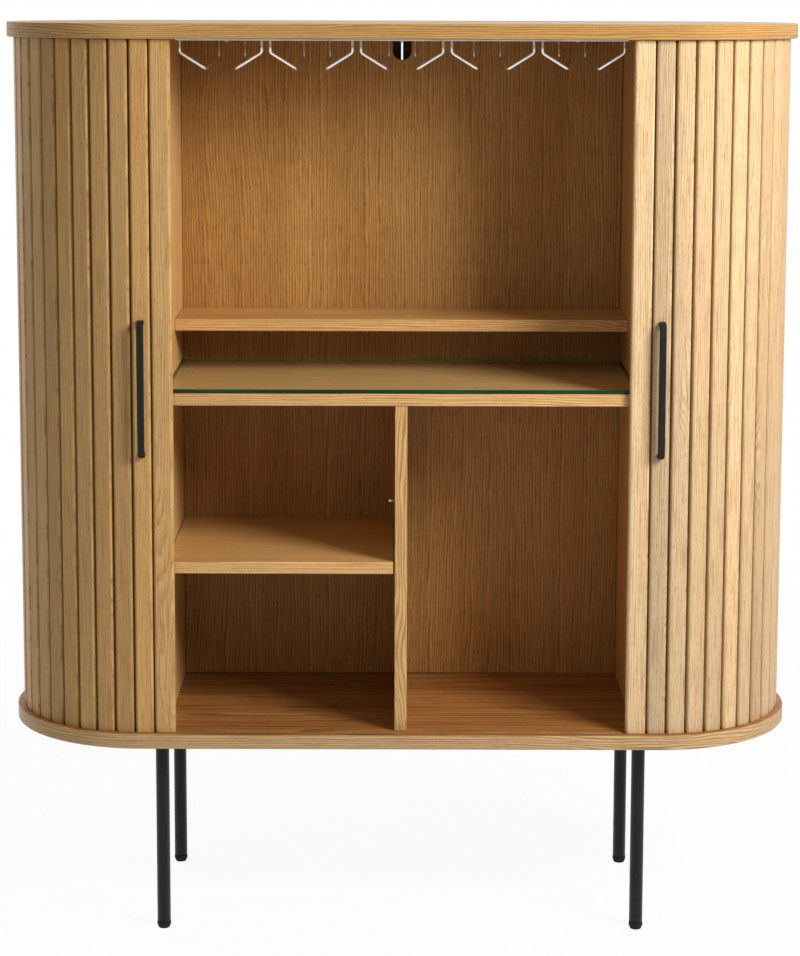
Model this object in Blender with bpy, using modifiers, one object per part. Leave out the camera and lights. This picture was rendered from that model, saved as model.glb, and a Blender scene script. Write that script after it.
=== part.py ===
"""Tall bar sideboard with two tambour doors that slide round its half-round ends.

Metres, +Z up. The origin is on the floor below the middle of the cabinet and the front faces -Y.
The doors are modelled fully open, parked round the ends and across the back.
"""
import math

import bmesh
import bpy
from mathutils import Matrix, Vector

# Overall sizes
WIDTH = 1.180
DEPTH = 0.420
HEIGHT = 1.354
FLOOR_GAP = 0.2945

# Boards and the clearance between pieces that touch
SLAB = 0.022
BOARD = 0.018
BACK_BOARD = 0.010
SLAB_ROUND = 0.002
BOARD_ARRIS = 0.0008
FIT = 0.0003

# Compartments, heights above the base panel
END_SPACE = 0.246
REAR_SPACE = 0.0422
MIDDLE_SHELF_TOP = 0.504
UPPER_SHELF_TOP = 0.5895
UPPER_SHELF_DEPTH = 0.144
LOWER_SHELF_TOP = 0.2548
LOWER_SHELF_PLAY = 0.001
LOWER_SHELF_GAP = 0.0025
GLASS_THICKNESS = 0.006
GLASS_PLAY = 0.001

# Cable notch in the back
NOTCH_WIDTH = 0.0286
NOTCH_HEIGHT = 0.038

# Shelf pins
PIN_DIAMETER = 0.005
PIN_REACH = 0.009
PIN_SEAT = 0.006
PIN_INSET = 0.040

# Slats of a door
DOOR_INSET = 0.010
SLAT_THICKNESS = 0.009
SLAT_GAP = 0.0024
SLAT_ROUND = 0.0026
SLAT_HEADROOM = 0.0007
LEAD_WIDTH = 0.0296
LEAD_ROUND = 0.005
LEAD_SETBACK = 0.049
CANVAS = 0.0008
RUN_GAP = 0.0027
MEETING_GAP = 0.001
TAIL_GAP = 0.0028
SLAT_COUNT = 35
FIRST_TURNING = 2
FIRST_END_SLAT = 13
FIRST_TAIL_SLAT = 23
TAIL_GROUP_COUNTS = (2, 2, 2, 2, 3)

# Track grooves and the tongues that run in them
TONGUE = 0.004
TONGUE_LENGTH = 0.010
TONGUE_DEPTH = 0.005
GROOVE_PLAY = 0.0005
GROOVE_DEPTH = 0.0065

# Door handle
HANDLE_LENGTH = 0.2006
HANDLE_WIDTH = 0.010
HANDLE_THICKNESS = 0.007
HANDLE_REACH = 0.018
HANDLE_BEND = 0.012
HANDLE_LIFT = 0.0045
HANDLE_ARRIS = 0.001

# Legs
LEG_DIAMETER = 0.020
LEG_END_INSET = 0.2345
LEG_FRONT_INSET = 0.061
LEG_PLATE = 0.070
LEG_PLATE_THICKNESS = 0.003
FOOT_HEIGHT = 0.010
FOOT_PROUD = 0.0004
FOOT_ROUND = 0.0032

# Stemware rack, drops measured down from the top panel
WIRE_DIAMETER = 0.0045
WIRE_BEND = 0.006
RACK_SLOTS = 5
RACK_FRONT_INSET = 0.0225
RACK_REAR_INSET = 0.058
RACK_END_INSET = 0.0185
RACK_STRIP_WIDTH = 0.016
RACK_STRIP_THICKNESS = 0.0025
RISER_SPREAD = 0.1178
RAIL_FRONT_SPREAD = 0.0432
RAIL_REAR_SPREAD = 0.0400
RISER_DROP = 0.0197
RAIL_FRONT_DROP = 0.0430
RAIL_REAR_DROP = 0.0358

# Steps of curved shapes and the overrun of cutters
END_STEPS = 32
CORNER_STEPS = 3
BEND_STEPS = 4
LEG_STEPS = 24
OVERRUN = 0.002
STRAIGHT_SHARE = 0.001

# Values that follow from the sizes
END_CENTRE = WIDTH / 2 - DEPTH / 2
SLAT_FACE = DEPTH / 2 - DOOR_INSET
TRACK = SLAT_FACE - SLAT_THICKNESS
GROOVE_LINE = TRACK + SLAT_THICKNESS / 2
END_LENGTH = math.pi * TRACK
BASE_TOP = FLOOR_GAP + SLAB
TOP_UNDERSIDE = HEIGHT - SLAB
BAY_WIDTH = WIDTH - 2 * END_SPACE
BAY_HALF = BAY_WIDTH / 2
BAY_FRONT = -(TRACK - CANVAS - RUN_GAP)
BAY_BACK = TRACK - CANVAS - REAR_SPACE - BACK_BOARD
LEG_X = WIDTH / 2 - LEG_END_INSET
LEG_Y = DEPTH / 2 - LEG_FRONT_INSET
RACK_FRONT = BAY_FRONT + RACK_FRONT_INSET
RACK_REAR = BAY_BACK - RACK_REAR_INSET
RACK_STRIP_LENGTH = BAY_WIDTH - 2 * RACK_END_INSET
RACK_PITCH = RACK_STRIP_LENGTH / RACK_SLOTS
DOOR_LOW = BASE_TOP + FIT
DOOR_HIGH = TOP_UNDERSIDE - SLAT_HEADROOM
LEAD_EDGE = END_CENTRE - LEAD_SETBACK
LEAD_PITCH = LEAD_WIDTH + SLAT_GAP / 2
TRAVEL = LEAD_EDGE - MEETING_GAP / 2
SLAT_PITCH = (2 * END_CENTRE + END_LENGTH + SLAT_GAP - TAIL_GAP / 2 - LEAD_EDGE - LEAD_WIDTH - SLAT_GAP / 2
              - SLAT_GAP / 2) / SLAT_COUNT
SLAT_WIDTH = SLAT_PITCH - SLAT_GAP

OAK = (0.56, 0.36, 0.17)
OAK_BACK = (0.42, 0.24, 0.09)
STEEL_BLACK = (0.02, 0.02, 0.022)
PLASTIC_BLACK = (0.012, 0.012, 0.012)
CHROME = (0.75, 0.75, 0.76)
GLASS = (0.70, 0.85, 0.78)


def clear_scene():
    """Empty the scene that the script starts in."""
    for old in list(bpy.data.objects):
        bpy.data.objects.remove(old, do_unlink=True)


def collection(name):
    """A new collection in the scene."""
    group = bpy.data.collections.new(name)
    bpy.context.scene.collection.children.link(group)
    return group


clear_scene()
PARTS = collection("tall_bar_sideboard")
CUTTERS = collection("cutters")


def finish(obj, colour, roughness, metallic=0.0, alpha=1.0):
    """Give a piece its own material."""
    mat = bpy.data.materials.new(obj.name)
    mat.use_nodes = True
    shader = mat.node_tree.nodes["Principled BSDF"]
    shader.inputs["Base Color"].default_value = (*colour, 1.0)
    shader.inputs["Roughness"].default_value = roughness
    shader.inputs["Metallic"].default_value = metallic
    shader.inputs["Alpha"].default_value = alpha
    obj.data.materials.clear()
    obj.data.materials.append(mat)
    return obj


def add_mesh(name, shape, matrix=None, group=PARTS):
    """Put a finished bmesh in the scene as an object."""
    mesh = bpy.data.meshes.new(name)
    shape.to_mesh(mesh)
    shape.free()
    obj = bpy.data.objects.new(name, mesh)
    group.objects.link(obj)
    if matrix is not None:
        obj.matrix_world = matrix
    return obj


def from_curve(guide, group):
    """Turn a filled curve into a closed mesh object in the same place, and remove the curve."""
    name = guide.name
    place = guide.matrix_world.copy()
    seen = guide.evaluated_get(bpy.context.evaluated_depsgraph_get())
    mesh = bpy.data.meshes.new_from_object(seen)
    curve = guide.data
    bpy.data.objects.remove(guide, do_unlink=True)
    bpy.data.curves.remove(curve)
    shape = bmesh.new()
    shape.from_mesh(mesh)
    bpy.data.meshes.remove(mesh)
    bmesh.ops.remove_doubles(shape, verts=shape.verts, dist=FIT / 30)
    bmesh.ops.recalc_face_normals(shape, faces=shape.faces)
    return add_mesh(name, shape, place, group)


def prism(name, loops, thickness, place, group=PARTS):
    """A flat outline of one or more loops, thickened evenly about its own plane."""
    curve = bpy.data.curves.new(name, "CURVE")
    curve.dimensions = "2D"
    curve.fill_mode = "BOTH"
    curve.extrude = thickness / 2
    for loop in loops:
        spline = curve.splines.new("POLY")
        spline.points.add(len(loop) - 1)
        for point, (x, y) in zip(spline.points, loop):
            point.co = (x, y, 0.0, 1.0)
        spline.use_cyclic_u = True
    guide = bpy.data.objects.new(name, curve)
    bpy.context.scene.collection.objects.link(guide)
    guide.matrix_world = place
    bpy.context.view_layer.update()
    return from_curve(guide, group)


def plan_prism(name, loops, low, high, origin=(0.0, 0.0), group=PARTS):
    """A plan outline raised from low to high, with its origin at a plan point."""
    moved = [[(x - origin[0], y - origin[1]) for x, y in loop] for loop in loops]
    place = Matrix.Translation((origin[0], origin[1], (low + high) / 2))
    return prism(name, moved, high - low, place, group)


def tube(name, points, diameter, group=PARTS):
    """A round wire along points, closed at both ends."""
    curve = bpy.data.curves.new(name, "CURVE")
    curve.dimensions = "3D"
    curve.bevel_depth = diameter / 2
    curve.bevel_resolution = 2
    curve.use_fill_caps = True
    spline = curve.splines.new("POLY")
    spline.points.add(len(points) - 1)
    for point, place in zip(spline.points, points):
        point.co = (*place, 1.0)
    guide = bpy.data.objects.new(name, curve)
    bpy.context.scene.collection.objects.link(guide)
    bpy.context.view_layer.update()
    return from_curve(guide, group)


def box(name, low, high, group=PARTS):
    """A board between two opposite corners."""
    low, high = Vector(low), Vector(high)
    shape = bmesh.new()
    bmesh.ops.create_cube(shape, size=1.0, matrix=Matrix.Diagonal(high - low).to_4x4())
    return add_mesh(name, shape, Matrix.Translation((low + high) / 2), group)


def rod(name, diameter, length, place, group=PARTS, steps=LEG_STEPS):
    """A round bar along its own Z."""
    shape = bmesh.new()
    bmesh.ops.create_cone(shape, cap_ends=True, segments=steps, radius1=diameter / 2, radius2=diameter / 2,
                          depth=length)
    return add_mesh(name, shape, place, group)


def soften(obj, width, segments=1):
    """Round the sharp edges of a piece."""
    bevel = obj.modifiers.new("edges", "BEVEL")
    bevel.width = width
    bevel.segments = segments
    bevel.limit_method = "ANGLE"
    bevel.angle_limit = math.radians(30)
    return obj


def board(name, low, high, colour=OAK):
    """A veneered board with slightly eased edges."""
    return finish(soften(box(name, low, high), BOARD_ARRIS), colour, 0.5)


def combine(target, tool, operation):
    """Cut a tool from a piece, or unite it with the piece."""
    tool.hide_render = True
    tool.display_type = "WIRE"
    step = target.modifiers.new(tool.name, "BOOLEAN")
    step.operation = operation
    step.object = tool
    return target


def smooth(obj):
    """Shade the round faces of a piece smooth and keep its sharp edges."""
    obj.data.shade_smooth()
    obj.data.set_sharp_from_angle(angle=math.radians(35))
    return obj


def arc(centre, radius, start, end, steps):
    """Points of an arc between two angles in degrees, both ends included."""
    points = []
    for step in range(steps + 1):
        angle = math.radians(start + (end - start) * step / steps)
        points.append((centre[0] + radius * math.cos(angle), centre[1] + radius * math.sin(angle)))
    return points


def stadium(radius):
    """The outline of a panel or track with half-round ends, at a distance from the end centres."""
    right = arc((END_CENTRE, 0.0), radius, -90, 90, END_STEPS)
    left = arc((-END_CENTRE, 0.0), radius, 90, 270, END_STEPS)
    return right + left


def make_slab(name, low, groove_low):
    """The top or base panel, with the groove that guides the doors."""
    slab = plan_prism(name, [stadium(DEPTH / 2)], low, low + SLAB)
    soften(slab, SLAB_ROUND, 2)
    half = TONGUE / 2 + GROOVE_PLAY
    ring = [stadium(GROOVE_LINE + half), stadium(GROOVE_LINE - half)]
    groove = plan_prism(name + "_groove", ring, groove_low, groove_low + GROOVE_DEPTH + OVERRUN, group=CUTTERS)
    combine(slab, groove, "DIFFERENCE")
    return finish(slab, OAK, 0.5)


def make_carcass():
    """The panels, shelves and back of the cabinet."""
    make_slab("top_panel", TOP_UNDERSIDE, TOP_UNDERSIDE - OVERRUN)
    make_slab("base_panel", FLOOR_GAP, BASE_TOP - GROOVE_DEPTH)
    back_rear = BAY_BACK + BACK_BOARD
    inside = BAY_HALF - FIT
    inner_back = BAY_BACK - FIT
    low, high = BASE_TOP + FIT, TOP_UNDERSIDE - FIT
    left = board("left_side_panel", (-BAY_HALF - BOARD, BAY_FRONT, low), (-BAY_HALF, back_rear, high))
    board("right_side_panel", (BAY_HALF, BAY_FRONT, low), (BAY_HALF + BOARD, back_rear, high))
    back = board("inner_back_panel", (-inside, BAY_BACK, low), (inside, back_rear, high), OAK_BACK)
    cut_cable_notch(back)
    middle_top = BASE_TOP + MIDDLE_SHELF_TOP
    board("middle_shelf", (-inside, BAY_FRONT, middle_top - BOARD), (inside, inner_back, middle_top))
    upper_top = BASE_TOP + UPPER_SHELF_TOP
    board("upper_shelf", (-inside, BAY_BACK - UPPER_SHELF_DEPTH, upper_top - BOARD),
          (inside, inner_back, upper_top))
    divider = board("centre_divider", (-BOARD / 2, BAY_FRONT, low),
                    (BOARD / 2, inner_back, middle_top - BOARD - FIT))
    lower_top = BASE_TOP + LOWER_SHELF_TOP
    board("lower_shelf", (-BAY_HALF + LOWER_SHELF_PLAY, BAY_FRONT, lower_top - BOARD),
          (-BOARD / 2 - LOWER_SHELF_GAP, inner_back, lower_top))
    add_pins(left, -BAY_HALF, 1, lower_top - BOARD)
    add_pins(divider, -BOARD / 2, -1, lower_top - BOARD)
    glass_half = BAY_HALF - GLASS_PLAY
    glass_low = middle_top + FIT
    glass = box("glass_shelf", (-glass_half, BAY_FRONT, glass_low),
                (glass_half, inner_back, glass_low + GLASS_THICKNESS))
    soften(glass, BOARD_ARRIS)
    finish(glass, GLASS, 0.03, alpha=0.3)


def cut_cable_notch(back):
    """Cut the round-bottomed notch for cables into the top edge of the back."""
    radius = NOTCH_WIDTH / 2
    centre = -NOTCH_HEIGHT + radius
    outline = arc((0.0, centre), radius, -180, 0, END_STEPS // 2) + [(radius, OVERRUN), (-radius, OVERRUN)]
    upright = Matrix.Rotation(math.radians(90), 4, "X")
    place = Matrix.Translation((0.0, BAY_BACK + BACK_BOARD / 2, TOP_UNDERSIDE)) @ upright
    tool = prism("cable_notch", [outline], BACK_BOARD + 2 * OVERRUN, place, CUTTERS)
    combine(back, tool, "DIFFERENCE")


def add_pins(panel, face, side, underside):
    """Set two steel pins in a panel's face, under a loose shelf."""
    lying = Matrix.Rotation(math.radians(90), 4, "Y")
    for number, y in enumerate((BAY_FRONT + PIN_INSET, BAY_BACK - PIN_INSET)):
        middle = face + side * (PIN_REACH - PIN_SEAT) / 2
        place = Matrix.Translation((middle, y, underside - FIT - PIN_DIAMETER / 2)) @ lying
        pin = rod("%s_pin_%d" % (panel.name, number + 1), PIN_DIAMETER, PIN_REACH + PIN_SEAT, place, CUTTERS, 12)
        combine(panel, pin, "UNION")


def make_legs():
    """Four round legs with a screw plate each, and their foot caps."""
    top = FLOOR_GAP - FIT
    lying = LEG_PLATE / 2
    for depth_name, y in (("front", -LEG_Y), ("rear", LEG_Y)):
        for side_name, x in (("left", -LEG_X), ("right", LEG_X)):
            low = FOOT_HEIGHT + FIT
            high = top - LEG_PLATE_THICKNESS / 2
            leg = rod("leg_%s_%s" % (depth_name, side_name), LEG_DIAMETER, high - low,
                      Matrix.Translation((x, y, (low + high) / 2)))
            plate = box(leg.name + "_plate", (x - lying, y - lying, top - LEG_PLATE_THICKNESS),
                        (x + lying, y + lying, top), CUTTERS)
            combine(leg, plate, "UNION")
            smooth(finish(leg, STEEL_BLACK, 0.45))
            make_foot("foot_%s_%s" % (depth_name, side_name), x, y)


def make_foot(name, x, y):
    """A turned plastic cap with a rounded lower edge."""
    radius = LEG_DIAMETER / 2 + FOOT_PROUD
    corner = arc((radius - FOOT_ROUND, FOOT_ROUND), FOOT_ROUND, 0, -90, CORNER_STEPS)
    profile = [(0.0, FOOT_HEIGHT), (radius, FOOT_HEIGHT)] + corner + [(0.0, 0.0)]
    shape = bmesh.new()
    points = [shape.verts.new((r, 0.0, z)) for r, z in profile]
    for start, end in zip(points, points[1:]):
        shape.edges.new((start, end))
    foot = add_mesh(name, shape, Matrix.Translation((x, y, 0.0)))
    turn = foot.modifiers.new("turn", "SCREW")
    turn.steps = LEG_STEPS
    turn.render_steps = LEG_STEPS
    turn.use_merge_vertices = True
    turn.merge_threshold = FIT / 30
    finish(foot, PLASTIC_BLACK, 0.55)


def rounded_path(points, radius, steps):
    """A path of straight runs whose corners are arcs of one radius."""
    path = [Vector(points[0])]
    for before, corner, after in zip(points, points[1:], points[2:]):
        corner = Vector(corner)
        back = (Vector(before) - corner).normalized()
        ahead = (Vector(after) - corner).normalized()
        half = back.angle(ahead) / 2
        reach = radius / math.tan(half)
        middle = corner + (back + ahead).normalized() * radius / math.sin(half)
        start = corner + back * reach - middle
        end = corner + ahead * reach - middle
        for step in range(steps + 1):
            path.append(middle + start.slerp(end, step / steps) * radius)
    path.append(Vector(points[-1]))
    return path


def make_rack():
    """The stemware rack: five pairs of bent wires welded to two strips under the top."""
    top = TOP_UNDERSIDE - FIT
    strip_low = top - RACK_STRIP_THICKNESS
    half = RACK_STRIP_LENGTH / 2
    lying = RACK_STRIP_WIDTH / 2
    rack = box("stemware_rack", (-half, RACK_FRONT - lying, strip_low), (half, RACK_FRONT + lying, top))
    rear = box("rack_rear_strip", (-half, RACK_REAR - lying, strip_low), (half, RACK_REAR + lying, top), CUTTERS)
    weld = strip_low + RACK_STRIP_THICKNESS / 2
    for slot in range(RACK_SLOTS):
        centre = (slot - (RACK_SLOTS - 1) / 2) * RACK_PITCH
        for side in (-1, 1):
            riser = centre + side * RISER_SPREAD / 2
            front = centre + side * RAIL_FRONT_SPREAD / 2
            back = centre + side * RAIL_REAR_SPREAD / 2
            corners = [(riser, RACK_FRONT, weld),
                       (riser, RACK_FRONT, TOP_UNDERSIDE - RISER_DROP),
                       (front, RACK_FRONT, TOP_UNDERSIDE - RAIL_FRONT_DROP),
                       (back, RACK_REAR, TOP_UNDERSIDE - RAIL_REAR_DROP),
                       (back, RACK_REAR, weld)]
            wire = tube("rack_wire_%d_%d" % (slot + 1, side + 2), rounded_path(corners, WIRE_BEND, BEND_STEPS),
                        WIRE_DIAMETER, CUTTERS)
            combine(rack, wire, "UNION")
    combine(rack, rear, "UNION")
    finish(rack, CHROME, 0.12, 1.0)


def track_pose(distance):
    """Plan point and heading of the track line of the right door, from the middle of the front."""
    if distance <= END_CENTRE:
        return Vector((distance, -TRACK)), 0.0
    angle = (distance - END_CENTRE) / TRACK
    if angle <= math.pi:
        return Vector((END_CENTRE + TRACK * math.sin(angle), -TRACK * math.cos(angle))), angle
    return Vector((2 * END_CENTRE + END_LENGTH - distance, TRACK)), math.pi


def slat_middle(number):
    """Distance along the track of the middle of a slat behind the leading one, with the door open."""
    return LEAD_EDGE + LEAD_PITCH + SLAT_PITCH * (number - 1) + SLAT_PITCH / 2


def on_plan(pose, along, out):
    """A plan point given along and out from a pose on the track."""
    centre, heading = pose
    ahead = Vector((math.cos(heading), math.sin(heading)))
    outward = Vector((math.sin(heading), -math.cos(heading)))
    return centre + ahead * along + outward * out


def slat_face(width, first_round):
    """The outline of a slat's three outer sides, with rounded front corners."""
    half = width / 2
    first = arc((first_round - half, SLAT_THICKNESS - first_round), first_round, 180, 90, CORNER_STEPS)
    second = arc((half - SLAT_ROUND, SLAT_THICKNESS - SLAT_ROUND), SLAT_ROUND, 90, 0, CORNER_STEPS)
    return [(-half, 0.0)] + first + second + [(half, 0.0)]


def without_straights(points):
    """A closed outline without the points that lie on a straight line between their neighbours."""
    kept = []
    for before, point, after in zip(points[-1:] + points, points, points[1:] + points[:1]):
        first, second = (point - before).normalized(), (after - point).normalized()
        if abs(first.cross(second)) > STRAIGHT_SHARE:
            kept.append(point)
    return kept


def strip_outline(slats, side, first_round):
    """The plan outline of slats on their canvas, each slat given by its pose and width."""
    outer, inner = [], []
    for number, (pose, width) in enumerate(slats):
        corner = SLAT_ROUND if number else first_round
        outer += [on_plan(pose, along, out) for along, out in slat_face(width, corner)]
        inner += [on_plan(pose, along, -CANVAS) for along in (-width / 2, width / 2)]
    return [(side * point.x, point.y) for point in without_straights(outer + inner[::-1])]


def tongue_outlines(slats, side):
    """The plan outlines of the tongues at the middle of each slat's ends."""
    loops = []
    for pose, _ in slats:
        corners = ((-1, -1), (1, -1), (1, 1), (-1, 1))
        loop = [on_plan(pose, a * TONGUE_LENGTH / 2, (SLAT_THICKNESS + o * TONGUE) / 2) for a, o in corners]
        loops.append([(side * point.x, point.y) for point in loop])
    return loops


def make_strip(name, slats, side, origin, with_tongues, first_round=SLAT_ROUND):
    """One rigid run of slats on its canvas, with its origin on the axis that it moves about."""
    at = (side * origin.x, origin.y)
    strip = plan_prism(name, [strip_outline(slats, side, first_round)], DOOR_LOW, DOOR_HIGH, at)
    if with_tongues:
        tongues = plan_prism(name + "_tongues", tongue_outlines(slats, side), DOOR_LOW - TONGUE_DEPTH,
                             DOOR_HIGH + TONGUE_DEPTH, group=CUTTERS)
        combine(strip, tongues, "UNION")
    return finish(strip, OAK, 0.5)


def turning_point(start, end, angle):
    """The point about which a turn by an angle takes one plan point to another."""
    half = (end - start) / 2
    return (start + end) / 2 + Vector((-half.y, half.x)) / math.tan(angle / 2)


def make_door(side, side_name):
    """One tambour door: leading stile, single slats, end slats and the slats parked at the back."""
    lead_pose = (Vector((LEAD_EDGE + LEAD_WIDTH / 2, -TRACK)), 0.0)
    lead_slats = [(lead_pose, LEAD_WIDTH), (track_pose(slat_middle(1)), SLAT_WIDTH)]
    make_strip("door_lead_%s" % side_name, lead_slats, side, lead_pose[0], True, LEAD_ROUND)
    make_handle("door_handle_%s" % side_name, side * slat_middle(1))
    for number in range(FIRST_TURNING, FIRST_END_SLAT):
        middle = slat_middle(number)
        start, heading = track_pose(middle)
        end, last_heading = track_pose(middle - TRAVEL)
        pivot = turning_point(start, end, last_heading - heading)
        make_strip("door_slat_%02d_%s" % (number + 1, side_name), [((start, heading), SLAT_WIDTH)], side, pivot,
                   False)
    end_slats = [(track_pose(slat_middle(n)), SLAT_WIDTH) for n in range(FIRST_END_SLAT, FIRST_TAIL_SLAT)]
    make_strip("door_end_slats_%s" % side_name, end_slats, side, Vector((END_CENTRE, 0.0)), True)
    first = FIRST_TAIL_SLAT
    for count in TAIL_GROUP_COUNTS:
        make_tail_group(first, count, side, side_name)
        first += count
    tail = [(track_pose(slat_middle(n)), SLAT_WIDTH) for n in range(first, SLAT_COUNT + 1)]
    make_strip("door_tail_slats_%s" % side_name, tail, side, tail[0][0][0], True)


def make_tail_group(first, count, side, side_name):
    """Slats that park flat across the back and lie as one chord of the end when the door is shut."""
    numbers = range(first, first + count)
    slats = [(track_pose(slat_middle(n)), SLAT_WIDTH) for n in numbers]
    start = (slats[0][0][0] + slats[-1][0][0]) / 2
    angle = ((slat_middle(numbers[0]) + slat_middle(numbers[-1])) / 2 - TRAVEL - END_CENTRE) / TRACK
    half = (count * SLAT_PITCH - SLAT_GAP) / 2
    chord = math.sqrt(TRACK ** 2 - half ** 2)
    end = Vector((END_CENTRE + chord * math.sin(angle), -chord * math.cos(angle)))
    pivot = turning_point(start, end, angle - math.pi)
    make_strip("door_slats_%d_%d_%s" % (first + 1, first + count, side_name), slats, side, pivot, False)


def make_handle(name, x):
    """A slim bar that bends back to the slat at both ends."""
    half = HANDLE_LENGTH / 2
    outer_bend, inner_bend = HANDLE_BEND, HANDLE_BEND - HANDLE_THICKNESS
    reach, inside = HANDLE_REACH, HANDLE_REACH - HANDLE_THICKNESS
    low, high = -half + HANDLE_THICKNESS, half - HANDLE_THICKNESS
    outline = [(FIT, -half)]
    outline += arc((reach - outer_bend, -half + outer_bend), outer_bend, -90, 0, BEND_STEPS)
    outline += arc((reach - outer_bend, half - outer_bend), outer_bend, 0, 90, BEND_STEPS)
    outline += [(FIT, half), (FIT, high)]
    outline += arc((inside - inner_bend, high - inner_bend), inner_bend, 90, 0, BEND_STEPS)
    outline += arc((inside - inner_bend, low + inner_bend), inner_bend, 0, -90, BEND_STEPS)
    outline += [(FIT, low)]
    upright = Matrix(((0.0, 0.0, -1.0), (-1.0, 0.0, 0.0), (0.0, 1.0, 0.0))).to_4x4()
    middle = (BASE_TOP + TOP_UNDERSIDE) / 2 + HANDLE_LIFT
    handle = prism(name, [outline], HANDLE_WIDTH, Matrix.Translation((x, -SLAT_FACE, middle)) @ upright)
    soften(handle, HANDLE_ARRIS)
    finish(handle, STEEL_BLACK, 0.4)


make_carcass()
make_legs()
make_rack()
make_door(1, "right")
make_door(-1, "left")
bpy.context.view_layer.update()
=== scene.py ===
"""A tall bar sideboard with two tambour doors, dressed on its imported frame."""

import logging
import math
import random
from collections.abc import Callable, Iterable, Sequence
from dataclasses import dataclass
from enum import Enum

import bmesh
import bpy
from bmesh.types import BMEdge, BMesh, BMFace, BMVert
from bpy.types import ID, Material, Mesh, Node, NodeSocket, Object, World
from mathutils import Matrix, Vector


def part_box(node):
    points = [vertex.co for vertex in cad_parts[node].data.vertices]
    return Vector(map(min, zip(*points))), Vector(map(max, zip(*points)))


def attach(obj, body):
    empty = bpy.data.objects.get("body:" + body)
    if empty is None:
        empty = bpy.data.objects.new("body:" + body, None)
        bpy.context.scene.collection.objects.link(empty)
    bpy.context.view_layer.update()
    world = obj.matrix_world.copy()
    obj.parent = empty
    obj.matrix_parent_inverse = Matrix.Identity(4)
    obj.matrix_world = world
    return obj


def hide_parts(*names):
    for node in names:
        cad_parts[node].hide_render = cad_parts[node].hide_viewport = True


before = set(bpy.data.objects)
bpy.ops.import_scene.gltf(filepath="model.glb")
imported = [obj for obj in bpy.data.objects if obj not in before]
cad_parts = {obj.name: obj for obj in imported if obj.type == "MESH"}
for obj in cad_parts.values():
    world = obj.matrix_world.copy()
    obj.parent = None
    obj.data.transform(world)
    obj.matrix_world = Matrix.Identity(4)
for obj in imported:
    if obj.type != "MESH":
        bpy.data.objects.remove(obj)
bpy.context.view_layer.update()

Pair = tuple[float, float]
Triple = tuple[float, float, float]
Colour = Triple

CARCASS = "carcass"
GRAIN_MAP = "grain"
TONE = "tone"
WASH = "wash"
LEAF_SPREAD = 20.0
BAND_WASH = 0.12
WHITE = (1.0, 1.0, 1.0)

# Where a noise turns from its low side to its high one
NOISE_SPAN = (0.3, 0.7)

# Sizes that the visual model shares with the CAD, in metres
HALF_DEPTH = 0.210
SLAB = 0.022
HEIGHT = 1.354
FLOOR_GAP = 0.2945
BASE_TOP = FLOOR_GAP + SLAB
TOP_UNDERSIDE = HEIGHT - SLAB
END_CENTRE = 0.380
BAY_HALF = 0.344
BOARD = 0.018
FIT = 0.0003
TRACK = 0.191
SLAT_THICKNESS = 0.009
SLAT_FACE = TRACK + SLAT_THICKNESS
GROOVE_LINE = TRACK + SLAT_THICKNESS / 2

# Points closer than NEAR count as one, and a face looks squarely along an axis from SQUARE on
NEAR = 1e-5
SQUARE = 0.9999


# --- shader building


class Value:
    """A number in a shader, on which Python's operators add Math nodes."""

    def __init__(self, shader: "Shader", socket: NodeSocket) -> None:
        """Hold a socket and the shader that it belongs to."""
        self.shader = shader
        self.socket = socket

    def apply(self, operation: str, *operands: "Value | float") -> "Value":
        """Add one Math node.

        Args:
            operation: Name of the Math operation.
            operands: Its inputs, in their order.

        Returns:
            The node's result.
        """
        inputs = dict(enumerate(operands))
        return self.shader.value(self.shader.node("ShaderNodeMath", {"operation": operation}, inputs))

    def __add__(self, other: "Value | float") -> "Value":
        """The sum."""
        return self.apply("ADD", self, other)

    __radd__ = __add__

    def __sub__(self, other: "Value | float") -> "Value":
        """The difference."""
        return self.apply("SUBTRACT", self, other)

    def __rsub__(self, other: float) -> "Value":
        """The difference, from a plain number."""
        return self.apply("SUBTRACT", other, self)

    def __mul__(self, other: "Value | float") -> "Value":
        """The product."""
        return self.apply("MULTIPLY", self, other)

    __rmul__ = __mul__

    def __pow__(self, power: float) -> "Value":
        """The power."""
        return self.apply("POWER", self, power)

    def fraction(self) -> "Value":
        """The part after the decimal point."""
        return self.apply("FRACT", self)

    def wave(self) -> "Value":
        """The sine."""
        return self.apply("SINE", self)

    def larger(self, other: "Value | float") -> "Value":
        """The larger of two values."""
        return self.apply("MAXIMUM", self, other)

    def ramp(self, low: float, high: float, start: float = 0.0, end: float = 1.0) -> "Value":
        """Ease from one value to another.

        Args:
            low: Input at which the ramp starts.
            high: Input at which it ends.
            start: Result below the ramp.
            end: Result above it.

        Returns:
            The eased value.
        """
        limits = {"From Min": low, "From Max": high, "To Min": start, "To Max": end}
        node = self.shader.node("ShaderNodeMapRange", {"interpolation_type": "SMOOTHSTEP"},
                                {"Value": self, **limits})
        return self.shader.value(node, "Result")


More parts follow.
